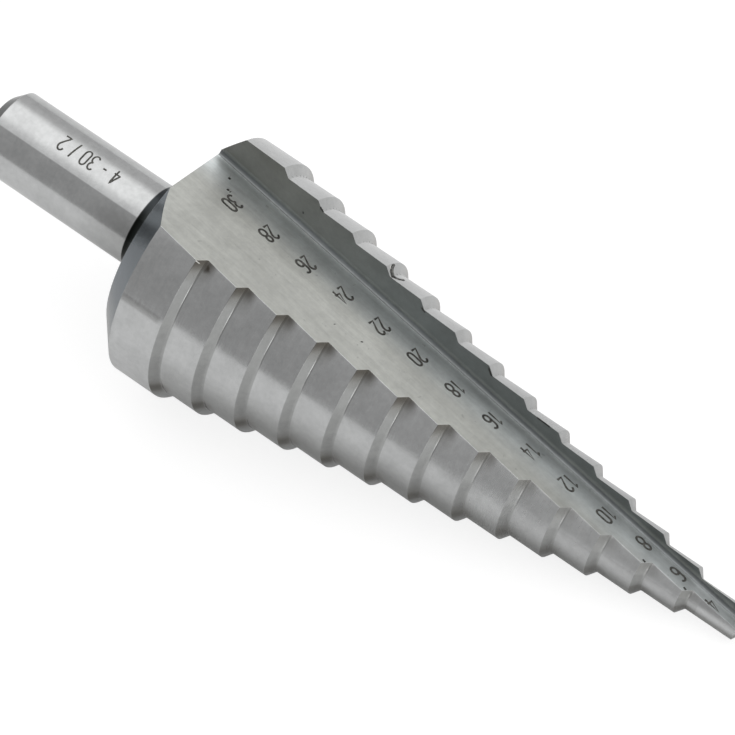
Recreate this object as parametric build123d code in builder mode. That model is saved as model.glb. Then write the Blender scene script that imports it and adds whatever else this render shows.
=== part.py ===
from build123d import *
import math
import os

os.makedirs("parts", exist_ok=True)

# Two-flute step drill for sheet material, 4 to 30 mm in fourteen steps, ground from one bar.
# Millimetres. While it is built, the drill's axis is X with the tip at +X, and the front edge
# of the largest step is at X = 0. Azimuths turn about X, from +Z towards +Y. At the end it is
# laid down as it comes to rest: one flute flat on the floor at Z = 0, the tip at +X.

# Steps
step_count = 14
largest_diameter = 30.0
step_increment = 2.0        # from one step's diameter to the next
step_length = 5.0           # pitch of the steps along the axis
shoulder_length = 0.75      # length of the bevel that leads up to each step
shoulder_fillet = 0.25      # concave, at the foot of each bevel
pilot_length = 6.5          # smallest step, from its shoulder to the point
point_angle = 118.0

# Back of the head
body_length = 5.4           # full-diameter land behind the front edge of the largest step
rear_bevel_length = 2.9     # along the axis
rear_bevel_height = 3.3     # across it
neck_fillet = 3.1           # from the back face down to the shank

# Shank
shank_diameter = 10.0
shank_length = 23.6         # from the back face of the head
shank_chamfer = 1.2

# Lands: each is turned about an axis of its own, so its radius falls away behind the edge
cutting_azimuth = 61.0      # of the cutting edge of the first land
relief_offset = 0.47        # from the drill's axis to the axis of a land
relief_azimuth = -28.0        # of the first land's axis
seam_azimuth = 35.0         # where the two lands would meet, inside the flute

# Flutes: straight V grooves whose root line leans in to meet the axis ahead of the tip
flute_azimuth = 74.6        # of the root line
flute_root_radius = 10.04    # at X = 0
flute_runout = 70.0         # X at which the root line reaches the axis
cutting_wall_angle = 37.6   # from the outward direction at the root to the cutting face
back_wall_angle = 114.15     # from the same direction to the broad face at the heel
root_fillet = 0.4

# How it comes to rest
rest_roll = 28.8            # about its axis, until one flute faces the floor
rest_pitch = 9.09           # tip down, until the corners of the steps touch the floor

# Derived sizes
largest_radius = largest_diameter / 2
step_rise = step_increment / 2
tip_radius = largest_radius - (step_count - 1) * step_rise
front_x = (step_count - 2) * step_length + pilot_length
point_length = tip_radius / math.tan(math.radians(point_angle / 2))
tip_x = front_x + point_length
back_x = -body_length - rear_bevel_length
shank_end_x = back_x - shank_length
shank_radius = shank_diameter / 2


def beside_axis(azimuth, distance):
    """Y and Z of a point at a distance from the drill's axis."""
    turn = math.radians(azimuth)
    return distance * math.sin(turn), distance * math.cos(turn)


def land_radius(radius):
    """Radius about a land's own axis that puts its cutting edge at a radius about the drill's."""
    edge_y, edge_z = beside_axis(cutting_azimuth, radius)
    axis_y, axis_z = beside_axis(relief_azimuth, relief_offset)
    return math.hypot(edge_y - axis_y, edge_z - axis_z)


# One land, before the flutes are cut: the stepped outline turned about the land's own axis,
# of which the half on the land's side of the seam is kept
land_y, land_z = beside_axis(relief_azimuth, relief_offset)
seam_y, seam_z = beside_axis(seam_azimuth + 90, 1.0)
outline = [
    (back_x, 0),
    (back_x, land_radius(largest_radius - rear_bevel_height)),
    (-body_length, land_radius(largest_radius)),
]
feet = []
for step in range(step_count):
    radius = largest_radius - step * step_rise
    outline.append((step * step_length, land_radius(radius)))
    if step < step_count - 1:
        feet.append((step * step_length + shoulder_length, land_radius(radius - step_rise)))
        outline.append(feet[-1])
outline[-1] = (tip_x, land_radius(tip_radius))
outline.append((tip_x, 0))

with BuildPart() as land:
    with BuildSketch(Plane(origin=(0, land_y, land_z), x_dir=(1, 0, 0), z_dir=(0, -1, 0))):
        with BuildLine():
            Polyline(*outline, close=True)
        profile = make_face()
        foot_corners = [
            corner for corner in profile.vertices()
            if any(math.hypot(corner.X - x, corner.Y - r) < 0.01 for x, r in feet)
        ]
        fillet(foot_corners, shoulder_fillet)
    revolve(axis=Axis((0, land_y, land_z), (1, 0, 0)))
    split(bisect_by=Plane(origin=(0, 0, 0), z_dir=(0, seam_y, seam_z)), keep=Keep.TOP)
opposite_land = land.part.rotate(Axis.X, 180)

# The root line of each flute is the Z axis of the plane its section is drawn on
lean = math.atan2(flute_root_radius, flute_runout)
flute_planes = []
for azimuth in (flute_azimuth, flute_azimuth + 180):
    root_y, root_z = beside_axis(azimuth, flute_root_radius)
    out_y, out_z = beside_axis(azimuth, math.cos(lean))
    in_y, in_z = beside_axis(azimuth, -math.sin(lean))
    flute_planes.append(
        Plane(
            origin=(0, root_y, root_z),
            x_dir=(math.sin(lean), out_y, out_z),
            z_dir=(math.cos(lean), in_y, in_z),
        )
    )

with BuildPart() as ground_bar:
    add(land.part)
    add(opposite_land)

    # Shank, with the fillet that carries it into the back face and the chamfer at its end
    with BuildSketch(Plane.XZ) as shank_outline:
        with BuildLine():
            Polyline(
                (shank_end_x, 0),
                (shank_end_x, shank_radius - shank_chamfer),
                (shank_end_x + shank_chamfer, shank_radius),
                (back_x - neck_fillet, shank_radius),
            )
            JernArc((back_x - neck_fillet, shank_radius), (1, 0), neck_fillet, 90)
            Polyline(
                (back_x, shank_radius + neck_fillet),
                (back_x + rear_bevel_length, shank_radius + neck_fillet),
                (back_x + rear_bevel_length, 0),
                (shank_end_x, 0),
            )
        make_face()
    revolve(axis=Axis.X)

    # Flutes
    reach = 2 * largest_diameter
    for flute_plane in flute_planes:
        with BuildSketch(flute_plane) as groove:
            with BuildLine():
                cutting_wall = PolarLine((0, 0), reach, cutting_wall_angle)
                back_wall = PolarLine((0, 0), reach, back_wall_angle)
                Line(cutting_wall @ 1, back_wall @ 1)
            make_face()
            fillet(groove.vertices().sort_by_distance((0, 0))[:1], root_fillet)
        extrude(amount=2 * tip_x, both=True, mode=Mode.SUBTRACT)

    # Point: everything outside the point's cone goes
    with BuildSketch(Plane.XZ):
        with BuildLine():
            Polyline(
                (tip_x, 0),
                (tip_x - 1.5 * point_length, 1.5 * tip_radius),
                (tip_x + point_length, 1.5 * tip_radius),
                (tip_x + point_length, 0),
                close=True,
            )
        make_face()
    revolve(axis=Axis.X, mode=Mode.SUBTRACT)

# Laid down, with the middle of its footprint at the origin and its lowest corners at Z = 0
laid_down = ground_bar.part.rotate(Axis.X, rest_roll).rotate(Axis.Y, rest_pitch)
box = laid_down.bounding_box()
with BuildPart() as step_drill:
    add(laid_down.moved(Location((-box.center().X, -box.center().Y, -box.min.Z))))

step_drill.part.label = "step_drill"
export_step(step_drill.part, "parts/step_drill.step")
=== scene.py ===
"""Dresses the step drill: ground steel, the marks on it, its small defects, and a plain pale stage."""

import math
from typing import NamedTuple

import bpy
from bpy.props import (
    FloatProperty,
    FloatVectorProperty,
    IntProperty,
    PointerProperty,
    StringProperty,
)
from mathutils import Euler, Matrix, Vector


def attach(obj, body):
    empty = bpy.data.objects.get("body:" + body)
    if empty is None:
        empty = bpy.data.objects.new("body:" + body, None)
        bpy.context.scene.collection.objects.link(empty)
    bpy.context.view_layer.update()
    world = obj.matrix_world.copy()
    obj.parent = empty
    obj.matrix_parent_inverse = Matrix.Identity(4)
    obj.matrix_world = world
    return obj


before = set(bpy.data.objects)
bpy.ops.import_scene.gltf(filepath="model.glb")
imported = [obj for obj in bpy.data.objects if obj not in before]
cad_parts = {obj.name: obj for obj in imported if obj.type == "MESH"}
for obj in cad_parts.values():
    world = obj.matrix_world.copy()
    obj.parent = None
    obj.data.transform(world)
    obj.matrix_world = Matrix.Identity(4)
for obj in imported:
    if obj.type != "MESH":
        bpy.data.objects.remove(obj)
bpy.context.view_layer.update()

bl_info = {
    "name": "Step Drill Dressing",
    "version": (1, 0, 0),
    "blender": (4, 5, 0),
    "location": "3D View > Sidebar > Step Drill",
    "description": "Ground steel, step marks, small defects and a plain stage for a step drill",
    "category": "Object",
}

MM = 0.001


# Settings ---------------------------------------------------------------------------------------


class DrillSettings(bpy.types.PropertyGroup):
    """How the drill lies, and the places on it that its surfaces and marks are worked out from."""

    front_edge: FloatVectorProperty(
        name="Front edge",
        description="Where the drill's axis passes the front edge of the largest step",
        default=(-17.376 * MM, 0.0, 12.505 * MM),
        subtype="TRANSLATION",
        unit="LENGTH",
    )
    roll: FloatProperty(
        name="Roll",
        description="Turn about the drill's axis, as it lies",
        default=math.radians(28.8),
        subtype="ANGLE",
    )
    pitch: FloatProperty(
        name="Pitch",
        description="Tilt of the drill's axis, tip down",
        default=math.radians(9.09),
        subtype="ANGLE",
    )
    steps: IntProperty(name="Steps", description="Number of steps", default=14)
    largest_diameter: FloatProperty(
        name="Largest diameter",
        description="Diameter of the largest step",
        default=30 * MM,
        unit="LENGTH",
    )
    step_increment: FloatProperty(
        name="Step increment",
        description="From one step's diameter to the next",
        default=2 * MM,
        unit="LENGTH",
    )
    step_length: FloatProperty(
        name="Step length", description="Pitch of the steps", default=5 * MM, unit="LENGTH"
    )
    shank_radius: FloatProperty(
        name="Shank radius", description="Radius of the shank", default=5 * MM, unit="LENGTH"
    )
    rim: FloatProperty(
        name="Rim",
        description="Where the rear bevel ends, along the drill's axis",
        default=-8.3 * MM,
        unit="LENGTH",
    )
    neck: FloatProperty(
        name="Neck",
        description="Where the neck's fillet meets the shank, along the drill's axis",
        default=-11.4 * MM,
        unit="LENGTH",
    )
    shank_end: FloatProperty(
        name="Shank end",
        description="Where the chamfer at the shank's end begins, along the drill's axis",
        default=-30.7 * MM,
        unit="LENGTH",
    )
    shoulder_length: FloatProperty(
        name="Shoulder length",
        description="Of the slope from one step down to the next, with its fillet",
        default=0.85 * MM,
        unit="LENGTH",
    )
    flute_middle: FloatProperty(
        name="Flute middle",
        description="Azimuth halfway between the edges of the first flute",
        default=math.radians(29.5),
        subtype="ANGLE",
    )
    flute_azimuth: FloatProperty(
        name="Flute azimuth",
        description="Of the root line of the first flute",
        default=math.radians(74.6),
        subtype="ANGLE",
    )
    flute_root_radius: FloatProperty(
        name="Flute root radius",
        description="From the axis to the root line, at the front edge",
        default=10.04 * MM,
        unit="LENGTH",
    )
    flute_runout: FloatProperty(
        name="Flute run-out",
        description="From the front edge to where the root line meets the axis",
        default=70 * MM,
        unit="LENGTH",
    )
    cutting_wall: FloatProperty(
        name="Cutting wall",
        description="From the outward direction at the root to the cutting face",
        default=math.radians(37.6),
        subtype="ANGLE",
    )
    back_wall: FloatProperty(
        name="Back wall",
        description="From the same direction to the broad face",
        default=math.radians(114.15),
        subtype="ANGLE",
    )


class SteelSettings(bpy.types.PropertyGroup):
    """Colours and grain of the ground steel and of what is on it."""

    ground: StringProperty(
        name="Ground steel", description="Colour of the lands and the shank", default="#C3C4C4"
    )
    broad_face: StringProperty(
        name="Broad face", description="Colour of the face that carries the numbers", default="#CCCDC8"
    )
    # Painted reflection and light: the broad face by the root is laid paler and bluish, for what it
    # mirrors there
    root_tint: StringProperty(
        name="Root reflection tint", description="Bluish grey of the broad face by the root", default="#D9DEDE"
    )
    # Painted shade: the cutting face is laid darker than the rest of the steel, for the dark it mirrors
    cutting_face: StringProperty(
        name="Cutting face", description="Darker colour of the cutting face", default="#70706C"
    )
    # Painted shade: the fillet at the root is laid darker than the broad face, dimming its own highlight
    # to a soft line
    root_line: StringProperty(
        name="Root line", description="Colour of the fillet at the root", default="#808384"
    )
    shoulder: StringProperty(
        name="Shoulder", description="Colour of the bevels between the steps", default="#A7A8A7"
    )
    # Painted shade and reflection: the rear bevel's blue grey stands in for the dark it mirrors by the
    # neck
    bevel: StringProperty(
        name="Rear bevel", description="Blue grey of the bevel near the neck", default="#656C72"
    )
    # Painted shade: the near black of the neck stands in for the deep shade where the head meets the shank
    neck: StringProperty(
        name="Neck", description="Near black of the neck's fillet", default="#373B3A"
    )
    # Painted shade on the chamfer at the shank's end, which faces away from the light
    soot: StringProperty(
        name="Shank end shade", description="Dark grey of the chamfer at the shank's end", default="#5A5C5B"
    )
    # Brown dirt, laid also as painted shade in every hollow by a heel
    dirt: StringProperty(
        name="Dirt and shade", description="Brown of the dirt in the corners by the heel", default="#5E584A"
    )
    # Dark brown of the real stain, laid also as painted shade in the corners by the heels
    deep_dirt: StringProperty(
        name="Deep dirt and shade", description="Dark brown of the stain and the corners", default="#3F382D"
    )
    mark: StringProperty(
        name="Mark", description="Colour of the burnt-in numbers", default="#2E2D2A"
    )
    faint_mark: StringProperty(
        name="Faint mark", description="Colour of the numbers where they fade", default="#5C5B57"
    )
    edge: FloatProperty(
        name="Edge", description="Rounding of the worn edges", default=0.1 * MM, unit="LENGTH"
    )
    grain: FloatProperty(
        name="Grain",
        description="Spacing of the grinding lines, drawn coarser than real",
        default=0.12 * MM,
        unit="LENGTH",
    )
    grain_depth: FloatProperty(
        name="Grain depth",
        description="Depth of the grinding lines",
        default=0.02 * MM,
        unit="LENGTH",
    )


class MarkSettings(bpy.types.PropertyGroup):
    """The numbers on the broad face and on the shank."""

    height: FloatProperty(
        name="Height", description="Of a digit on the broad face", default=1.95 * MM, unit="LENGTH"
    )
    width: FloatProperty(
        name="Width", description="Of a digit on the broad face", default=0.71 * MM, unit="LENGTH"
    )
    gap: FloatProperty(
        name="Gap", description="Between two digits", default=0.3 * MM, unit="LENGTH"
    )
    stroke: FloatProperty(
        name="Stroke", description="Width of a digit's line", default=0.29 * MM, unit="LENGTH"
    )
    shank_gap: FloatProperty(
        name="Shank gap",
        description="Between two signs of the mark on the shank",
        default=0.345 * MM,
        unit="LENGTH",
    )
    shank_stroke: FloatProperty(
        name="Shank stroke",
        description="Width of a line of the mark on the shank",
        default=0.2088 * MM,
        unit="LENGTH",
    )
    shank_place: FloatProperty(
        name="Shank mark place",
        description="Middle of the mark on the shank, along the drill's axis",
        default=-19.65 * MM,
        unit="LENGTH",
    )
    shank_azimuth: FloatProperty(
        name="Shank mark azimuth",
        description="Of the mark's middle line about the shank",
        default=math.radians(27),
        subtype="ANGLE",
    )
    relief: FloatProperty(
        name="Relief",
        description="How far a burnt line stands proud of the face",
        default=0.012 * MM,
        unit="LENGTH",
    )


class StageSettings(bpy.types.PropertyGroup):
    """Camera, floor and light."""

    camera: FloatVectorProperty(
        name="Camera",
        description="Place of the camera",
        default=(0.18905, -0.22233, 0.38904),
        unit="LENGTH",
    )
    camera_turn: FloatVectorProperty(
        name="Camera turn",
        description="Euler angles of the camera",
        default=(math.radians(37.511), math.radians(2.815), math.radians(36.612)),
        subtype="EULER",
    )
    lens: FloatProperty(name="Lens", description="Focal length in mm", default=219.77)
    floor: StringProperty(name="Floor", description="Colour of the floor", default="#FFFFFF")
    floor_size: FloatProperty(
        name="Floor size", description="From its middle to a side", default=3.0, unit="LENGTH"
    )


SETTING_GROUPS = {
    "drill": DrillSettings,
    "steel": SteelSettings,
    "marks": MarkSettings,
    "stage": StageSettings,
}


def settings(group):
    """One of the groups of settings, as it stands in the scene."""
    return getattr(bpy.context.scene, "step_drill_" + group)


# Helpers ----------------------------------------------------------------------------------------


def colour(text):
    """A #RRGGBB colour, as written for a screen, as the linear colour a shader takes."""
    parts = [int(text[place : place + 2], 16) / 255 for place in (1, 3, 5)]
    linear = [part / 12.92 if part <= 0.04045 else ((part + 0.055) / 1.055) ** 2.4 for part in parts]
    return (*linear, 1.0)


def add_node(tree, kind, inputs=(), output=0, **options):
    """Adds a node, sets its options, sets or links its inputs by name or place, and gives one of
    its outputs."""
    made = tree.nodes.new("ShaderNode" + kind)
    for name, value in options.items():
        setattr(made, name, value)
    for socket, value in inputs.items() if isinstance(inputs, dict) else enumerate(inputs):
        if isinstance(value, bpy.types.NodeSocket):
            tree.links.new(value, made.inputs[socket])
        else:
            made.inputs[socket].default_value = value
    return made.outputs[output] if len(made.outputs) else None


def chained(tree, operation, *values):
    """The result of one operation carried along a row of values."""
    result = values[0]
    for value in values[1:]:
        result = add_node(tree, "Math", (result, value), operation=operation)
    return result


def new_material(name):
    """An empty node material and its tree."""
    material = bpy.data.materials.new(name)
    material.use_nodes = True
    material.node_tree.nodes.clear()
    return material, material.node_tree


def drill_turn():
    """The rotation that lays the drill down, as Euler angles."""
    drill = settings("drill")
    return Euler((drill.roll, drill.pitch, 0.0))


def on_drill(along, azimuth=0.0, radius=0.0):
    """A point given along the drill's axis, about it from its upper side, and out from it."""
    local = Vector((along, radius * math.sin(azimuth), radius * math.cos(azimuth)))
    return drill_turn().to_matrix() @ local + Vector(settings("drill").front_edge)


def flute_frame():
    """The first flute in the drill's own axes: a point of its root line, the line's direction,
    the directions in which the broad face and the cutting face run from it, and their normals."""
    drill = settings("drill")
    lean = math.atan2(drill.flute_root_radius, drill.flute_runout)
    radial = Vector((0.0, math.sin(drill.flute_azimuth), math.cos(drill.flute_azimuth)))
    axis = Vector((1.0, 0.0, 0.0))
    along = (axis * math.cos(lean) - radial * math.sin(lean)).normalized()
    outward = (axis * math.sin(lean) + radial * math.cos(lean)).normalized()
    sideways = along.cross(outward)
    broad = outward * math.cos(drill.back_wall) + sideways * math.sin(drill.back_wall)
    cutting = outward * math.cos(drill.cutting_wall) + sideways * math.sin(drill.cutting_wall)
    return {
        "root": radial * drill.flute_root_radius,
        "along": along,
        "broad": broad,
        "broad_normal": broad.cross(along),
        "cutting": cutting,
        "cutting_normal": along.cross(cutting),
    }


# What lies over the steel -----------------------------------------------------------------------

# The tables below go by these measures of a point of the steel.
# In mm: "along" the drill's axis from the front edge, "phase" along it from the step edge behind,
# "across" the broad face and "up_wall" on the cutting face from the root, "down_flute" along the
# root, "side" of the root towards the broad face, "off_heel", "off_wall" and "off_root" from the
# broad face, the cutting face and the root line, "from_stain" and "from_cloud" from their middles.
# In degrees about the axis from its upper side: "azimuth", as if on the first land, and
# "own_azimuth".
# Cosines: "toward_broad" and "toward_wall" of facing as those faces do, "forward" of facing the tip.
# The faces and the noises, each by its name, are measures too.
AZIMUTHS = ("azimuth", "own_azimuth")

# A window is a measure, where a smooth ramp over it begins and ends, and the levels at the ramp's two
# ends, which are 0 and 1 where none are given.


class Layer(NamedTuple):
    """A colour laid over the steel: a setting or #RRGGBB, how strongly and where it lies, and the
    layers that lie over the colour itself."""

    name: str
    shade: str
    strength: float = 1.0
    windows: tuple = ()
    face: str = ""
    over: tuple = ()


class Gain(NamedTuple):
    """Something added to a value of the steel, such as its shade: how much of it, and where."""

    strength: float
    windows: tuple = ()
    face: str = ""


# Where the lower side of the smaller steps is painted darker, as shade
UNDERSIDE = (("azimuth", -42, -76), ("azimuth", -100, -86))
# Fainter towards the tip, for the dirt and painted shade by the heels
FAINTER_TO_TIP = ("along", 22.0, 50.0, 1.0, 0.25)

# Colours in the order they are laid
STEEL_LAYERS = (
    # Painted shade: the lower side of the smaller steps is laid darker where it faces the floor close by
    Layer(
        "Painted shade on the underside of the smaller steps",
        "#6A6A66",
        windows=(*UNDERSIDE, ("along", 0.0, 1.5), ("along", 3.0, 14.0, 0.42, 0.6)),
    ),
    Layer(
        "Shade on the shank by the head",
        "#7A7A78",
        0.4,
        (("along", -18.4, -11.9), ("along", -11.2, -11.4), ("own_azimuth", 4, -20)),
    ),
    Layer(
        "Dark streak on the largest land",
        "#55544F",
        0.3,
        (
            ("own_azimuth", -34.5, -33),
            ("own_azimuth", -29.5, -31),
            ("along", -6.8, -5.6),
            ("along", -0.1, -0.7),
        ),
    ),
    # Painted shade and light on the rear bevel: blue grey, brighter low down, darker by the flutes
    Layer(
        "Rear bevel",
        "bevel",
        face="bevel",
        over=(
            Layer("Painted light low on the bevel", "#B1B1B0", 1.0, (("azimuth", -36, -74), ("azimuth", -148, -118))),
            Layer("Painted shade on the bevel by the flute", "neck", 0.22, (("azimuth", -30, -14), ("azimuth", 28, 12))),
        ),
    ),
    # Shoulders, a darker grey than the lands, with painted shade low on the smaller steps and paler again
    # further round
    Layer(
        "Shoulders",
        "shoulder",
        face="shoulder",
        over=(
            Layer("Painted shade on the low shoulder", "#8C8C8A", 1.0, (*UNDERSIDE, ("along", 10.0, 45.0, 0.3, 1.0))),
            Layer("Paler far shoulder", "ground", 0.4, (("azimuth", -80, -92),)),
        ),
    ),
    # Dirt and painted shade in the hollow by each heel, darker in the corner
    Layer("Dirt and painted shade by the heel", "dirt", 0.5, (FAINTER_TO_TIP,), "heel_hollow"),
    Layer(
        "Darker dirt and painted shade in the corner",
        "deep_dirt",
        0.6,
        (("off_heel", 1.3, 0.2), FAINTER_TO_TIP),
        "by_corner",
    ),
    # Broad face, with painted reflection and light in a paler bluish grey towards the root
    Layer(
        "Broad face",
        "broad_face",
        face="broad",
        over=(Layer("Painted bluish reflection by the root", "root_tint", 1.0, (("across", 6.0, 1.8),)),),
    ),
    # Cutting face, laid darker as painted shade, bluish towards the tip, with painted light at its foot
    Layer(
        "Cutting face",
        "cutting_face",
        face="cutting",
        over=(
            Layer("Bluish towards the tip", "#6E7170", 1.0, (("down_flute", -5.0, 25.0),)),
            Layer("Painted light at the foot of the wall", "#9C9E9B", 1.0, (("up_wall", 1.2, 0.5),)),
        ),
    ),
    # The root, coloured to give the soft pale line along the fillet: painted light beside the cutting
    # face, painted shade beside the broad face
    Layer(
        "Root, on the cutting face's side",
        "#828485",
        face="root",
        over=(Layer("Root, on the broad face's side", "root_line", 1.0, (("across", 0.0, 0.3),)),),
    ),
    # Painted shade in the neck between the head and the shank, near black at its foot, with painted light
    # on its upper side
    Layer(
        "Painted shade at the foot of the neck's fillet",
        "#1A1C1A",
        face="neck",
        over=(
            Layer("Neck", "neck", 1.0, (("along", -11.15, -10.0),)),
            Layer("Painted light on the upper side of the neck", "#3C3F41", 1.0, (("own_azimuth", 0, 30),)),
        ),
    ),
    # Painted shade on the chamfer at the shank's end
    Layer("Chamfer at the shank's end", "soot", face="shank_end"),
    Layer("Brown stain", "deep_dirt", 0.75, (("from_stain", 0.6, 0.1),)),
    Layer("Bluish cloud", "#7B8890", 0.12, (("from_cloud", 1.6, 0.6),)),
)

# Middle of the stain, by the heel of the largest step, and of the cloud, in the drill's axes in mm
STAIN_PLACE = (1.75, 0.2, 14.05)
CLOUD_PLACE = (5.0, 11.2, 8.2)

# How much paler or duller the broad face is painted. Each row is a factor, one and the sum of its gains.
BROAD_FACTORS = (
    # A paler patch by the large steps
    (
        Gain(
            0.25,
            (
                ("across", 2.2, 5.0),
                ("across", 9.8, 6.5),
                ("down_flute", -4.0, -1.0),
                ("down_flute", 26.0, 14.0),
            ),
        ),
    ),
    # Duller towards the tip
    (Gain(-0.24, (("down_flute", 24.0, 50.0),)),),
    # By the root, painted light and shade: paler by the large steps, duller towards the tip and in the
    # rear corner
    (
        Gain(1.0, (("across", 3.4, 1.2), ("down_flute", 16.0, 34.0, 0.2, -0.12))),
        Gain(0.16, (("across", 1.0, 2.2), ("across", 4.6, 2.8), ("down_flute", 9.0, 3.0))),
        Gain(-0.18, (("across", 1.4, 0.5), ("down_flute", 1.0, -6.0))),
    ),
    # The painted highlight along the root
    (
        Gain(0.12, (("across", 1.4, 0.5),)),
        Gain(1.05, (("down_flute", 22.0, 48.0),), "root"),
    ),
)

# Elsewhere, painted light and shade: a paler cutting face towards the tip, and on the smaller steps paler
# lands by the heel and duller ones below
OTHER_GAINS = (
    Gain(0.42, (("down_flute", 22.0, 44.0),), "cutting"),
    Gain(0.15, (("azimuth", -34, -28), ("along", 5.0, 45.0)), "stepped"),
    Gain(-0.1, (("azimuth", -28, -34), ("along", 5.0, 45.0)), "land"),
)

# What the noises do to the shade: clouds, grinding lines, smears, blotches, and pits
NOISE_GAINS = (
    Gain(1.0, (("cloud", 0.3, 0.7, -0.05, 0.04),)),
    Gain(1.0, (("grain", 0.25, 0.75, -1.0, 1.0), ("broad", 0.0, 1.0, 0.018, 0.04))),
    Gain(1.0, (("smear", 0.3, 0.7, -0.05, 0.05),), "broad"),
    Gain(1.0, (("blotch", 0.3, 0.7, -0.045, 0.045),)),
    Gain(-0.2, (("pit", 0.68, 0.76),), "broad"),
)

# Roughness: satin with the grain, more matt towards the tip and in the flutes
ROUGHNESS = (
    Gain(1.0, (("grain", 0.2, 0.8, 0.15, 0.21),)),
    Gain(0.12, (("along", 15.0, 50.0),)),
    Gain(0.26, (), "broad"),
    Gain(0.26, (), "cutting"),
    Gain(0.2, (), "root"),
)

# Fillets, as the shading smooths them: how far they have turned, and where they lie. The one at the
# root is drawn a little wider than it is cut, and the other turns from a slope to the land below.
SLOPE_LEAN = math.radians(53.1)
ROOT_TURN = (("side", -0.6, 0.78),)
ROOT_REACH = (("side", -0.7, -0.6), ("side", 0.9, 0.8))
SHOULDER_TURN = (("phase", 0.6, 0.95, SLOPE_LEAN, 0.0),)
SHOULDER_REACH = (("phase", 0.52, 0.6), ("phase", 1.1, 0.98))

# Relief of the grinding lines, as a share of their depth. Then how the noises are drawn out: how
# many mm across the lines one mm along them counts as, or one radian about the axis.
GRAIN_RELIEF = 0.03
FLUTE_LINE_PACE = 0.05
SMEAR_PACE = 0.15
ROUND_LINE_PACE = 0.4

# In mm: how early a slope begins to count, and how far past the start of the last one the stepped
# part is taken to end
EDGE_ROOM = 0.02
LAST_SLOPE_ROOM = 2.0


def face_windows():
    """Windows of each face, and of the dirt and painted shade in the corners between the steps."""
    drill = settings("drill")
    slope = drill.shoulder_length / MM
    last_slope = (drill.steps - 2) * drill.step_length / MM + LAST_SLOPE_ROOM
    rim = drill.rim / MM
    neck = drill.neck / MM
    end = drill.shank_end / MM
    stepped = (("along", -0.05, 0.0), ("along", last_slope + 0.1, last_slope))
    return {
        "broad": (("toward_broad", 0.985, 0.995), ("off_heel", 0.1, 0.05)),
        "cutting": (("toward_wall", 0.985, 0.995), ("off_wall", 0.1, 0.05)),
        "root": (("off_root", 0.55, 0.4),),
        "stepped": stepped,
        "shoulder": (("phase", slope + 0.1, slope), *stepped),
        "heel_hollow": (("phase", 2.6, 0.9), *stepped, ("off_heel", 2.6, 0.2)),
        "by_corner": (("phase", 2.5, 1.2), *stepped),
        "bevel": (("forward", -0.3, -0.5), ("along", rim - 0.05, rim + 0.05)),
        "neck": (("along", rim + 0.05, rim - 0.05), ("along", neck, neck + 0.15)),
        "shank_end": (("along", end, end - 0.1), ("forward", -0.95, -0.85)),
    }


OUTSIDE_FLUTES = ("stepped", "shoulder", "heel_hollow", "by_corner", "bevel")


def share_of(tree, here, row):
    """How strongly a layer or a gain holds at a point: its windows' ramps, multiplied."""
    shares = [row.strength]
    for measure, *limits in row.windows:
        if measure in AZIMUTHS:
            limits[:2] = [math.radians(limit) for limit in limits[:2]]
        ends = (here[measure], *limits)
        shares.append(add_node(tree, "MapRange", ends, interpolation_type="SMOOTHSTEP"))
    if row.face:
        shares.append(here[row.face])
    return chained(tree, "MULTIPLY", *shares)


def layered(tree, here, under, layers):
    """A colour with layers laid over it in turn."""
    for layer in layers:
        own = colour(getattr(settings("steel"), layer.shade, layer.shade))
        inputs = {0: share_of(tree, here, layer), 6: under, 7: layered(tree, here, own, layer.over)}
        under = add_node(tree, "Mix", inputs, 2, data_type="RGBA", label=layer.name)
    return under


def summed(tree, here, start, gains):
    """A value with gains added to it."""
    return chained(tree, "ADD", start, *(share_of(tree, here, gain) for gain in gains))


# Materials --------------------------------------------------------------------------------------


def drill_coordinates(tree):
    """Millimetres in the drill's own axes, and the surface's normal in those axes."""
    place = add_node(tree, "TexCoord", output="Object")
    laid = {"Vector": place, "Location": settings("drill").front_edge, "Rotation": drill_turn()}
    position = add_node(tree, "Mapping", {**laid, "Scale": (MM, MM, MM)}, vector_type="TEXTURE")
    facing = add_node(tree, "NewGeometry", output="True Normal")
    laid = {"Vector": facing, "Rotation": drill_turn()}
    return position, add_node(tree, "Mapping", laid, vector_type="TEXTURE")


def folded(tree, vector, position, middle):
    """A vector of the second flute or land carried over to the first, half a turn about the axis."""
    upward = Vector((0.0, math.sin(middle), math.cos(middle)))
    side = add_node(tree, "VectorMath", (position, upward), "Value", operation="DOT_PRODUCT")
    sign = add_node(tree, "Math", (side,), operation="SIGN")
    flip = add_node(tree, "CombineXYZ", (1.0, sign, sign))
    return add_node(tree, "VectorMath", (vector, flip), operation="MULTIPLY")


def azimuth_of(tree, vector):
    """The angle of a vector about the drill's axis, from its upper side."""
    parts = add_node(tree, "SeparateXYZ", (vector,)).node.outputs
    return add_node(tree, "Math", (parts["Y"], parts["Z"]), operation="ARCTAN2")


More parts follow.
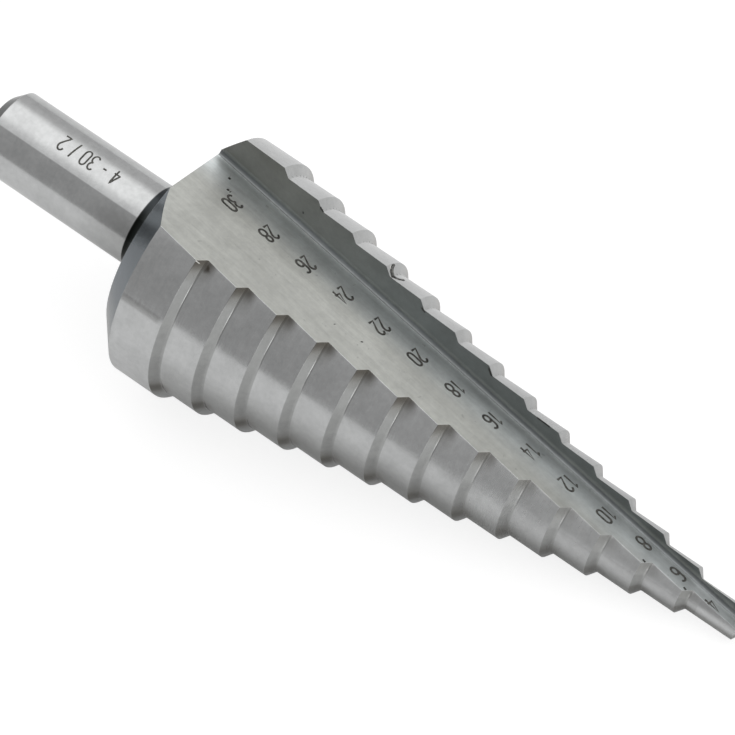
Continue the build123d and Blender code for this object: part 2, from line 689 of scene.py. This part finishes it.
def survey(tree):
    """What a point of the steel is told by: its place and measures, and how surely it is on each
    face. A point of the second flute is measured as if it were on the first."""
    drill = settings("drill")
    flute = flute_frame()
    position, normal = drill_coordinates(tree)
    in_flute = folded(tree, position, position, drill.flute_middle)
    facing = folded(tree, normal, position, drill.flute_middle)
    on_land = folded(tree, position, position, drill.flute_middle - math.pi / 2)
    from_root = add_node(tree, "VectorMath", (in_flute, flute["root"] / MM), operation="SUBTRACT")
    here = {
        "position": position,
        "along": add_node(tree, "SeparateXYZ", (position,), "X"),
        "forward": add_node(tree, "SeparateXYZ", (facing,), "X"),
        "azimuth": azimuth_of(tree, on_land),
        "own_azimuth": azimuth_of(tree, position),
    }
    past_edge = chained(tree, "ADD", here["along"], EDGE_ROOM)
    here["phase"] = chained(tree, "FLOORED_MODULO", past_edge, drill.step_length / MM)
    for name, vector, direction in (
        ("toward_broad", facing, "broad_normal"),
        ("toward_wall", facing, "cutting_normal"),
        ("off_heel", from_root, "broad_normal"),
        ("off_wall", from_root, "cutting_normal"),
        ("across", from_root, "broad"),
        ("up_wall", from_root, "cutting"),
        ("down_flute", from_root, "along"),
    ):
        pair = (vector, flute[direction])
        here[name] = add_node(tree, "VectorMath", pair, "Value", operation="DOT_PRODUCT")
    for name in ("off_heel", "off_wall"):
        here[name] = add_node(tree, "Math", (here[name],), operation="ABSOLUTE")
    here["side"] = chained(tree, "SUBTRACT", here["across"], here["up_wall"])
    off_root = add_node(tree, "VectorMath", (from_root, flute["along"]), operation="CROSS_PRODUCT")
    here["off_root"] = add_node(tree, "VectorMath", (off_root,), "Value", operation="LENGTH")

    for face, windows in face_windows().items():
        here[face] = share_of(tree, here, Gain(1.0, windows))
    here["walls"] = chained(tree, "MAXIMUM", here["broad"], here["cutting"], here["root"])
    off_walls = chained(tree, "SUBTRACT", 1.0, here["walls"])
    for face in OUTSIDE_FLUTES:
        here[face] = chained(tree, "MULTIPLY", here[face], off_walls)
    off_slope = chained(tree, "SUBTRACT", 1.0, here["shoulder"])
    here["land"] = chained(tree, "MULTIPLY", here["stepped"], off_slope)
    return here


def add_noises(tree, here):
    """Adds the noises to what a point is told by. The grinding lines run along the flute on the
    broad face and round the axis elsewhere."""
    position = here["position"]
    spacing = settings("steel").grain / MM
    onward = chained(tree, "MULTIPLY", here["down_flute"], FLUTE_LINE_PACE)
    flute_lines = add_node(tree, "CombineXYZ", (onward, here["across"]))
    onward = chained(tree, "MULTIPLY", here["down_flute"], SMEAR_PACE)
    smears = add_node(tree, "CombineXYZ", (onward, here["across"]))
    turned = chained(tree, "MULTIPLY", here["own_azimuth"], ROUND_LINE_PACE)
    round_lines = add_node(tree, "CombineXYZ", (here["along"], turned))
    # Name, where it is taken, size of its cells in mm, detail and roughness. A cell holds about two
    # grinding lines.
    for name, place, size, detail, roughness in (
        ("flute_grain", flute_lines, 2.0 * spacing, 4.0, 0.6),
        ("round_grain", round_lines, spacing / 0.7, 3.0, 0.6),
        ("cloud", position, 2.857, 3.0, 0.55),
        ("blotch", position, 0.625, 4.0, 0.65),
        ("smear", smears, 0.7692, 4.0, 0.6),
        ("pit", position, 0.6667, 2.0, 0.5),
    ):
        inputs = {"Vector": place, "Scale": 1 / size, "Detail": detail, "Roughness": roughness}
        here[name] = add_node(tree, "TexNoise", inputs, "Fac")
    grains = {0: here["broad"], 2: here["round_grain"], 3: here["flute_grain"]}
    here["grain"] = add_node(tree, "Mix", grains)
    ragged = add_node(tree, "CombineXYZ", (here["blotch"], here["blotch"], here["blotch"]))
    ragged = add_node(tree, "VectorMath", (position, ragged), operation="ADD")
    for name, place, middle in (
        ("from_stain", ragged, STAIN_PLACE),
        ("from_cloud", position, CLOUD_PLACE),
    ):
        here[name] = add_node(tree, "VectorMath", (place, middle), "Value", operation="DISTANCE")


def local_shade(tree, here):
    """How much paler or duller than its colour each part is painted: a paler patch and a duller tip on the
    broad face, and painted light and shade by the root, on the cutting face and on the smaller steps.
    """
    factors = (summed(tree, here, 1.0, gains) for gains in BROAD_FACTORS)
    on_broad = chained(tree, "SUBTRACT", chained(tree, "MULTIPLY", *factors), 1.0)
    off_cutting = chained(tree, "SUBTRACT", 1.0, here["cutting"])
    by_broad = chained(tree, "MAXIMUM", here["broad"], here["root"])
    on_broad = chained(tree, "MULTIPLY", on_broad, by_broad, off_cutting)
    return summed(tree, here, chained(tree, "ADD", 1.0, on_broad), OTHER_GAINS)


def laid_down(tree, vector):
    """A direction in the drill's own axes, turned as the drill lies."""
    laid = {"Vector": vector, "Rotation": drill_turn()}
    return add_node(tree, "Mapping", laid, vector_type="POINT")


def root_fillet(tree, here):
    """The smooth normal of the fillet at a flute's root, and how much of it holds."""
    flute = flute_frame()
    turn = share_of(tree, here, Gain(1.0, ROOT_TURN))
    normals = {0: turn, 4: flute["cutting_normal"], 5: flute["broad_normal"]}
    turned = add_node(tree, "Mix", normals, 1, data_type="VECTOR")
    turned = folded(tree, turned, here["position"], settings("drill").flute_middle)
    turned = add_node(tree, "VectorMath", (turned,), operation="NORMALIZE")
    return laid_down(tree, turned), share_of(tree, here, Gain(1.0, ROOT_REACH, "walls"))


def shoulder_fillet(tree, here):
    """The smooth normal of the fillet at the foot of each shoulder, and how much of it holds."""
    lean = share_of(tree, here, Gain(1.0, SHOULDER_TURN))
    outward = add_node(
        tree, "VectorMath", (here["position"], (0.0, 1.0, 1.0)), operation="MULTIPLY"
    )
    outward = add_node(tree, "VectorMath", (outward,), operation="NORMALIZE")
    level = add_node(tree, "Math", (lean,), operation="COSINE")
    outward = add_node(tree, "VectorMath", {0: outward, "Scale": level}, operation="SCALE")
    rise = add_node(tree, "Math", (lean,), operation="SINE")
    onward = add_node(tree, "CombineXYZ", (rise,))
    turned = add_node(tree, "VectorMath", (outward, onward), operation="ADD")
    return laid_down(tree, turned), share_of(tree, here, Gain(1.0, SHOULDER_REACH, "stepped"))


def steel_material():
    """Ground steel. Satin metal with fine grinding lines along each face and a cloudy broad face, with
    painted light and shade: a bluish reflection by the root of the flute, a darker cutting face, and dirt
    with painted shade by the heels."""
    steel = settings("steel")
    material, tree = new_material("Ground high speed steel, satin")
    here = survey(tree)
    add_noises(tree, here)
    shade = summed(tree, here, 1.0, NOISE_GAINS)
    shade = chained(tree, "MULTIPLY", shade, local_shade(tree, here))
    tone = layered(tree, here, colour(steel.ground), STEEL_LAYERS)
    tone = add_node(tree, "VectorMath", {0: tone, "Scale": shade}, operation="SCALE")

    # Worn edges and fillets, with the relief of the grinding lines over them
    normal = add_node(tree, "Bevel", {"Radius": steel.edge}, samples=6)
    for fillet in (shoulder_fillet, root_fillet):
        turned, share = fillet(tree, here)
        normal = add_node(tree, "Mix", {0: share, 4: normal, 5: turned}, 1, data_type="VECTOR")
    relief = {
        "Strength": GRAIN_RELIEF,
        "Distance": steel.grain_depth,
        "Height": here["grain"],
        "Normal": normal,
    }
    finish = {
        "Base Color": tone,
        "Metallic": 1.0,
        "Roughness": summed(tree, here, 0.0, ROUGHNESS),
        "Normal": add_node(tree, "Bump", relief),
    }
    add_node(tree, "OutputMaterial", (add_node(tree, "BsdfPrincipled", finish),))
    return material


def mark_material():
    """Burnt-in marking. Dark, matt and slightly uneven, as a laser leaves it."""
    steel = settings("steel")
    material, tree = new_material("Laser marking, burnt dark")
    place = add_node(tree, "TexCoord", output="Object")
    uneven = {"Vector": place, "Scale": 1 / (0.4 * MM), "Detail": 3.0, "Roughness": 0.6}
    here = {
        "uneven": add_node(tree, "TexNoise", uneven, "Fac"),
        "along": add_node(tree, "SeparateXYZ", (place,), "X"),
    }
    # It is fainter in patches, towards the tip and at the shank's marked end
    faint = summed(
        tree,
        here,
        0.0,
        (
            Gain(1.0, (("uneven", 0.35, 0.7),)),
            Gain(0.35, (("along", 15 * MM, 45 * MM),)),
            Gain(0.45, (("along", -24 * MM, -30 * MM),)),
        ),
    )
    tones = {0: faint, 6: colour(steel.mark), 7: colour(steel.faint_mark)}
    tone = add_node(tree, "Mix", tones, 2, data_type="RGBA")
    finish = {"Base Color": tone, "Metallic": 0.3, "Roughness": 0.7}
    add_node(tree, "OutputMaterial", (add_node(tree, "BsdfPrincipled", finish),))
    return material


# Finishes of the blemishes: material, its two colours, metallic and roughness
BLEMISH_FINISHES = {
    # Near black and matt, as dirt and pits are
    "speck": ("Scorched speck, near black", "#2B2A28", "#4B4A47", 0.6, 0.55),
    # Dark and matt, as a torn chip that has been hot
    "scorched": ("Scorched burr, dark grey", "#50504E", "#787875", 0.6, 0.55),
    # Brighter than the ground faces, so that a burr glints
    "bright": ("Torn steel burr, bright", "#F4F3EF", "#CFCDC8", 1.0, 0.3),
}


def blemish_material(finish):
    """Steel of a speck, a nick or a burr, uneven over a quarter of a millimetre."""
    name, first, second, metallic, roughness = BLEMISH_FINISHES[finish]
    material, tree = new_material(name)
    place = add_node(tree, "TexCoord", output="Object")
    uneven = {"Vector": place, "Scale": 1 / (0.25 * MM), "Detail": 3.0, "Roughness": 0.5}
    here = {"uneven": add_node(tree, "TexNoise", uneven, "Fac")}
    share = share_of(tree, here, Gain(1.0, (("uneven", 0.35, 0.65),)))
    tones = {0: share, 6: colour(first), 7: colour(second)}
    tone = add_node(tree, "Mix", tones, 2, data_type="RGBA")
    surface = {"Base Color": tone, "Metallic": metallic, "Roughness": roughness}
    add_node(tree, "OutputMaterial", (add_node(tree, "BsdfPrincipled", surface),))
    return material


# Pieces -----------------------------------------------------------------------------------------

# Specks and nicks: name, wall of the first flute, width in mm, and short strokes on the wall in mm.
# On the broad face a point is its distance from the root and its place along it, on the cutting face
# its place along the root and its distance from it.
SPECKS = (
    ("speck_by_number_a", "broad", 0.32, (((2.18, -5.4), (2.2, -5.08)),)),
    ("speck_by_number_b", "broad", 0.3, (((3.72, -4.32), (3.75, -4.03)), ((3.72, -3.9), (3.74, -3.78)))),
    ("specks_mid_flute", "broad", 0.28, (((7.45, 18.5), (7.55, 18.62)), ((8.3, 15.2), (8.33, 15.28)))),
    ("heel_speck_small_steps", "broad", 0.28, (((3.3, 55.6), (3.4, 56.0)), ((2.25, 60.6), (2.35, 61.0)))),
    ("speck_cutting_wall", "cutting", 0.34, (((3.25, 1.85), (3.42, 1.9)),)),
    (
        "nick_second_step",
        "cutting",
        0.28,
        (((4.95, 4.75), (5.15, 4.5), (5.5, 4.4)), ((5.2, 4.62), (5.3, 4.55))),
    ),
    ("nick_fifth_step", "cutting", 0.28, (((20.2, 3.4), (20.5, 3.2), (20.8, 3.17)),)),
    ("nick_seventh_step", "cutting", 0.28, (((29.95, 3.35), (30.25, 2.95), (30.6, 2.6)),)),
    ("nick_ninth_step", "cutting", 0.28, (((37.2, 2.53), (38.0, 2.65), (38.9, 2.78)),)),
)

# Burrs: name, points as mm along the axis, degrees about it and mm from it, width in mm, and finish
BURRS = (
    (
        "curled_burr",
        ((15.09, 69.2, 11.81), (15.28, 66.6, 11.57), (15.48, 65.8, 11.31), (15.74, 66.1, 11.0)),
        0.38,
        "scorched",
    ),
    (
        "curled_burr_end",
        ((15.7, 66.0, 11.02), (16.15, 66.3, 10.93), (16.54, 67.6, 10.92), (16.81, 71, 10.9)),
        0.24,
        "scorched",
    ),
    ("corner_glint", ((14.78, 64.4, 11.93), (15.06, 64.7, 11.84), (15.24, 65.0, 11.62)), 0.15, "bright"),
    ("heel_glint", ((0.02, -1.2, 14.72), (0.2, -1.25, 14.5), (0.36, -1.35, 14.28)), 0.13, "bright"),
)

SPECK_RELIEF = 0.015 * MM

# Middles of the numbers on the broad face, in mm along the root and across from it: of the first
# one, and from one to the next. The last three, of one digit, follow a line closer to the root.
FIRST_MARK = (-2.6, 4.88)
MARK_PITCH = (5.205, -0.295)
FIRST_SMALL_MARK = (54.3, 1.3)
SMALL_MARK_PITCH = 4.85

# The mark on the shank, and the longest run of a stroke that is bent round it
SHANK_TEXT = "4 - 30 / 2"
LONGEST_RUN = 0.2 * MM

# Widths of the narrow signs, and how far a 1 is moved back, as shares of a digit's width
NARROW_SIGNS = {"1": 0.75, " ": 0.15}
SHIFT_OF_ONE = 0.15


def arc(centre_x, centre_y, radius, start, end, count=10):
    """Points of an arc, with its angles in degrees."""
    turns = [math.radians(start + (end - start) * place / count) for place in range(count + 1)]
    return [(centre_x + radius * math.cos(t), centre_y + radius * math.sin(t)) for t in turns]


def glyphs():
    """The strokes of each sign, one unit wide and two high."""
    ring = arc(0.5, 1.5, 0.5, 0, 180) + arc(0.5, 0.5, 0.5, 180, 360)
    return {
        " ": [],
        "0": [ring + ring[:1]],
        "1": [[(0.15, 1.62), (0.55, 2.0), (0.55, 0.0)]],
        "2": [arc(0.5, 1.5, 0.5, 165, -35) + [(0.0, 0.0), (1.0, 0.0)]],
        "3": [arc(0.48, 1.52, 0.47, 150, -80) + arc(0.48, 0.53, 0.53, 80, -150)],
        "4": [[(0.72, 0.0), (0.72, 2.0), (0.0, 0.6), (1.05, 0.6)]],
        "6": [arc(0.55, 1.45, 0.55, 40, 180) + arc(0.5, 0.5, 0.5, 180, 540, 20)],
        "8": [arc(0.5, 1.53, 0.45, -90, 270, 20), arc(0.5, 0.54, 0.54, 90, 450, 20)],
        "-": [[(0.2, 0.9), (0.8, 0.9)]],
        "/": [[(0.28, -0.1), (0.72, 2.1)]],
    }


def line_mesh(strokes, width, relief):
    """Rounded lines along strokes given in metres in a plane, flattened to a given relief."""
    lines = bpy.data.curves.new("line", "CURVE")
    lines.dimensions = "3D"
    lines.bevel_depth = width / 2
    lines.bevel_resolution = 2
    lines.use_fill_caps = True
    for stroke in strokes:
        spline = lines.splines.new("POLY")
        spline.points.add(len(stroke) - 1)
        for point, place in zip(spline.points, stroke):
            point.co = (*Vector(place).to_3d(), 1.0)
    tube = bpy.data.objects.new("line", lines)
    bpy.context.scene.collection.objects.link(tube)
    bpy.context.view_layer.update()
    evaluated = tube.evaluated_get(bpy.context.evaluated_depsgraph_get())
    mesh = bpy.data.meshes.new_from_object(evaluated)
    bpy.data.objects.remove(tube)
    bpy.data.curves.remove(lines)
    mesh.transform(Matrix.Diagonal((1.0, 1.0, relief / (width / 2), 1.0)))
    return mesh


def new_piece(name, mesh, material):
    """A piece of the drill, with its finish."""
    mesh.name = name
    mesh.materials.clear()
    mesh.materials.append(material)
    piece = bpy.data.objects.new(name, mesh)
    bpy.context.scene.collection.objects.link(piece)
    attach(piece, "root")
    return piece


def divided(stroke, longest):
    """A stroke with points added, so that none of its runs is longer than given."""
    points = [stroke[0]]
    for start, end in zip(stroke, stroke[1:]):
        count = max(1, math.ceil(math.dist(start, end) / longest))
        for place in range(1, count + 1):
            part = place / count
            points.append(tuple(a + (b - a) * part for a, b in zip(start, end)))
    return points


def text_strokes(text, width, height, gap):
    """The strokes of a line of signs, centred on the origin."""
    advance = [width * NARROW_SIGNS.get(sign, 1.0) for sign in text]
    total = sum(advance) + gap * (len(text) - 1)
    start = -total / 2
    strokes = []
    signs = glyphs()
    for sign, step in zip(text, advance):
        shift = start - (SHIFT_OF_ONE * width if sign == "1" else 0.0)
        for stroke in signs[sign]:
            strokes.append([(shift + x * width, (y / 2 - 0.5) * height) for x, y in stroke])
        start += step + gap
    return strokes


def face_matrix(origin, right, up):
    """A plane's matrix in the row's frame, from an origin and two directions in the drill's."""
    turn = drill_turn().to_matrix()
    columns = (turn @ right, turn @ up, turn @ right.cross(up))
    place = Matrix([[column[row] for column in columns] for row in range(3)]).to_4x4()
    place.translation = turn @ origin + Vector(settings("drill").front_edge)
    return place


class STEPDRILL_OT_surface(bpy.types.Operator):
    """Gives the drill its ground steel."""

    bl_idname = "step_drill.surface"
    bl_label = "Ground steel"

    def execute(self, context):
        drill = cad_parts["step_drill"]
        material = steel_material()
        drill.data.materials.clear()
        drill.data.materials.append(material)
        for slot in drill.material_slots:
            slot.material = material
        return {"FINISHED"}


class STEPDRILL_OT_step_marks(bpy.types.Operator):
    """Writes each step's diameter on the broad face of the upper flute."""

    bl_idname = "step_drill.step_marks"
    bl_label = "Step marks"

    def execute(self, context):
        drill = settings("drill")
        marks = settings("marks")
        flute = flute_frame()
        material = mark_material()
        small_marks = 0
        for step in range(drill.steps):
            text = str(round((drill.largest_diameter - step * drill.step_increment) / MM))
            if len(text) == 1:
                along = FIRST_SMALL_MARK[0] + small_marks * SMALL_MARK_PITCH
                across = FIRST_SMALL_MARK[1]
                small_marks += 1
            else:
                along, across = (first + step * pitch for first, pitch in zip(FIRST_MARK, MARK_PITCH))
            origin = flute["root"] + (flute["along"] * along + flute["broad"] * across) * MM
            strokes = text_strokes(text, marks.width, marks.height, marks.gap)
            mesh = line_mesh(strokes, marks.stroke, marks.relief)
            mesh.transform(face_matrix(origin, flute["broad"], flute["along"]))
            new_piece("step_mark_" + text, mesh, material)
        return {"FINISHED"}


class STEPDRILL_OT_shank_mark(bpy.types.Operator):
    """Writes the range of sizes round the shank: smallest, largest and increment."""

    bl_idname = "step_drill.shank_mark"
    bl_label = "Shank mark"

    def execute(self, context):
        drill = settings("drill")
        marks = settings("marks")
        strokes = text_strokes(SHANK_TEXT, marks.width, marks.height, marks.shank_gap)
        strokes = [divided(stroke, LONGEST_RUN) for stroke in strokes]
        mesh = line_mesh(strokes, marks.shank_stroke, marks.relief)
        for vertex in mesh.vertices:
            right, up, out = vertex.co
            azimuth = marks.shank_azimuth - up / drill.shank_radius
            vertex.co = on_drill(marks.shank_place - right, azimuth, drill.shank_radius + out)
        new_piece("shank_mark", mesh, mark_material())
        return {"FINISHED"}


class STEPDRILL_OT_blemishes(bpy.types.Operator):
    """Adds the dark specks on the flute, the nicks in the cutting edge and the curled burrs."""

    bl_idname = "step_drill.blemishes"
    bl_label = "Blemishes"

    def execute(self, context):
        flute = flute_frame()
        finishes = {finish: blemish_material(finish) for finish in BLEMISH_FINISHES}
        walls = {"broad": ("broad", "along"), "cutting": ("along", "cutting")}
        for name, wall, width, spots in SPECKS:
            right, up = (flute[direction] for direction in walls[wall])
            strokes = [[(x * MM, y * MM) for x, y in stroke] for stroke in spots]
            mesh = line_mesh(strokes, width * MM, SPECK_RELIEF)
            mesh.transform(face_matrix(flute["root"], right, up))
            new_piece(name, mesh, finishes["speck"])
        for name, places, width, finish in BURRS:
            stroke = [on_drill(x * MM, math.radians(turn), out * MM) for x, turn, out in places]
            mesh = line_mesh([stroke], width * MM, width * MM / 2)
            new_piece(name, mesh, finishes[finish])
        return {"FINISHED"}


# Stage ------------------------------------------------------------------------------------------

# Shares of the floor's colour: what it throws back, what of that the camera sees, and its glow to
# the camera and in the steel
FLOOR_SHARE = 0.82
FLOOR_SEEN_SHARE = 0.3
FLOOR_SEEN_GLOW = 0.82
FLOOR_MIRRORED_GLOW = 0.08

# The room's light by degrees about the drill's axis from its upper side, and a lamp ahead of the tip
ROOM_BANDS = (
    (-180, 0.56),
    (-69, 0.56),
    (-64, 0.32),
    (-40, 0.31),
    (-5, 0.33),
    (27, 1.0),
    (68, 1.0),
    (88, 0.5),
    (125, 0.43),
    (160, 0.48),
    (180, 0.56),
)
ROOM_STRENGTH = 1.3
TIP_LIGHT = (("forward", 0.55, 0.7), ("forward", 0.95, 0.88), ("azimuth", -98, -78), ("azimuth", -22, -42))
TIP_LIGHT_LEVEL = 1.7

SENSOR_WIDTH = 36.0
NEAREST_SEEN = 0.01


def floor_material():
    """Pale studio floor. White to the camera and to the steel, and it keeps the soft shadow."""
    stage = settings("stage")
    material, tree = new_material("Studio floor, pale matt")
    white = colour(stage.floor)
    path = add_node(tree, "LightPath").node.outputs
    seen = path["Is Camera Ray"]
    pale, dim = (tuple(share * part for part in white) for share in (FLOOR_SHARE, FLOOR_SEEN_SHARE))
    paint = add_node(tree, "Mix", {0: seen, 6: pale, 7: dim}, 2, data_type="RGBA")
    matt = add_node(tree, "BsdfDiffuse", {"Color": paint})
    mirrored = chained(tree, "MAXIMUM", path["Is Glossy Ray"], path["Is Transmission Ray"])
    mirrored = chained(tree, "MULTIPLY", mirrored, FLOOR_MIRRORED_GLOW)
    strength = chained(tree, "ADD", chained(tree, "MULTIPLY", seen, FLOOR_SEEN_GLOW), mirrored)
    glow = add_node(tree, "Emission", {"Color": white, "Strength": strength})
    both = add_node(tree, "AddShader", (matt, glow))
    add_node(tree, "OutputMaterial", (both,))
    return material


def studio_world():
    """The room: a bright ceiling light, a duller wall on one side, a pale one on the other."""
    world = bpy.data.worlds.new("Studio")
    world.use_nodes = True
    tree = world.node_tree
    tree.nodes.clear()
    seen = add_node(tree, "TexCoord", output="Generated")
    laid = {"Vector": seen, "Rotation": drill_turn()}
    direction = add_node(tree, "Mapping", laid, vector_type="TEXTURE")
    here = {
        "azimuth": azimuth_of(tree, direction),
        "forward": add_node(tree, "SeparateXYZ", (direction,), "X"),
    }
    place = add_node(
        tree, "Math", (here["azimuth"], 1 / (2 * math.pi), 0.5), operation="MULTIPLY_ADD"
    )
    bands = add_node(tree, "ValToRGB", (place,))
    lights = bands.node.color_ramp.elements
    lights.remove(lights[-1])
    for count, (azimuth, level) in enumerate(ROOM_BANDS):
        turn = azimuth / 360 + 0.5
        light = lights[0] if count == 0 else lights.new(turn)
        light.position = turn
        light.color = (level, level, level, 1.0)
    tip_light = share_of(tree, here, Gain(1.0, TIP_LIGHT))
    levels = {0: tip_light, 6: bands, 7: (*[TIP_LIGHT_LEVEL] * 3, 1.0)}
    room = add_node(tree, "Mix", levels, 2, data_type="RGBA")
    light = add_node(tree, "Background", {"Color": room, "Strength": ROOM_STRENGTH})
    add_node(tree, "OutputWorld", (light,))
    return world


class STEPDRILL_OT_stage(bpy.types.Operator):
    """Sets the floor, the light round about and the camera."""

    bl_idname = "step_drill.stage"
    bl_label = "Stage"

    def execute(self, context):
        stage = settings("stage")
        scene = context.scene
        mesh = bpy.data.meshes.new("floor")
        signs = ((-1, -1), (1, -1), (1, 1), (-1, 1))
        corners = [(x * stage.floor_size, y * stage.floor_size, 0.0) for x, y in signs]
        mesh.from_pydata(corners, [], [(0, 1, 2, 3)])
        mesh.materials.append(floor_material())
        floor = bpy.data.objects.new("floor", mesh)
        scene.collection.objects.link(floor)
        scene.world = studio_world()
        camera = bpy.data.cameras.new("camera")
        camera.lens = stage.lens
        camera.sensor_width = SENSOR_WIDTH
        camera.clip_start = NEAREST_SEEN
        seat = bpy.data.objects.new("camera", camera)
        seat.location = stage.camera
        seat.rotation_euler = stage.camera_turn
        scene.collection.objects.link(seat)
        scene.camera = seat
        scene.view_settings.view_transform = "Standard"
        return {"FINISHED"}


class STEPDRILL_PT_panel(bpy.types.Panel):
    """Buttons that dress the drill, in the order they run."""

    bl_idname = "STEPDRILL_PT_panel"
    bl_label = "Step Drill"
    bl_space_type = "VIEW_3D"
    bl_region_type = "UI"
    bl_category = "Step Drill"

    def draw(self, context):
        for operator in OPERATORS:
            self.layout.operator(operator.bl_idname)


OPERATORS = (
    STEPDRILL_OT_surface,
    STEPDRILL_OT_step_marks,
    STEPDRILL_OT_shank_mark,
    STEPDRILL_OT_blemishes,
    STEPDRILL_OT_stage,
)


def register():
    """Registers the classes and hangs the settings on the scene."""
    for name, group in SETTING_GROUPS.items():
        bpy.utils.register_class(group)
        setattr(bpy.types.Scene, "step_drill_" + name, PointerProperty(type=group))
    for made in (*OPERATORS, STEPDRILL_PT_panel):
        bpy.utils.register_class(made)


def unregister():
    """Takes back what register did."""
    for made in (STEPDRILL_PT_panel, *reversed(OPERATORS)):
        bpy.utils.unregister_class(made)
    for name, group in SETTING_GROUPS.items():
        delattr(bpy.types.Scene, "step_drill_" + name)
        bpy.utils.unregister_class(group)


def main():
    """Dresses the drill."""
    register()
    bpy.ops.step_drill.surface()
    bpy.ops.step_drill.step_marks()
    bpy.ops.step_drill.shank_mark()
    bpy.ops.step_drill.blemishes()
    bpy.ops.step_drill.stage()


if __name__ == "__main__":
    main()
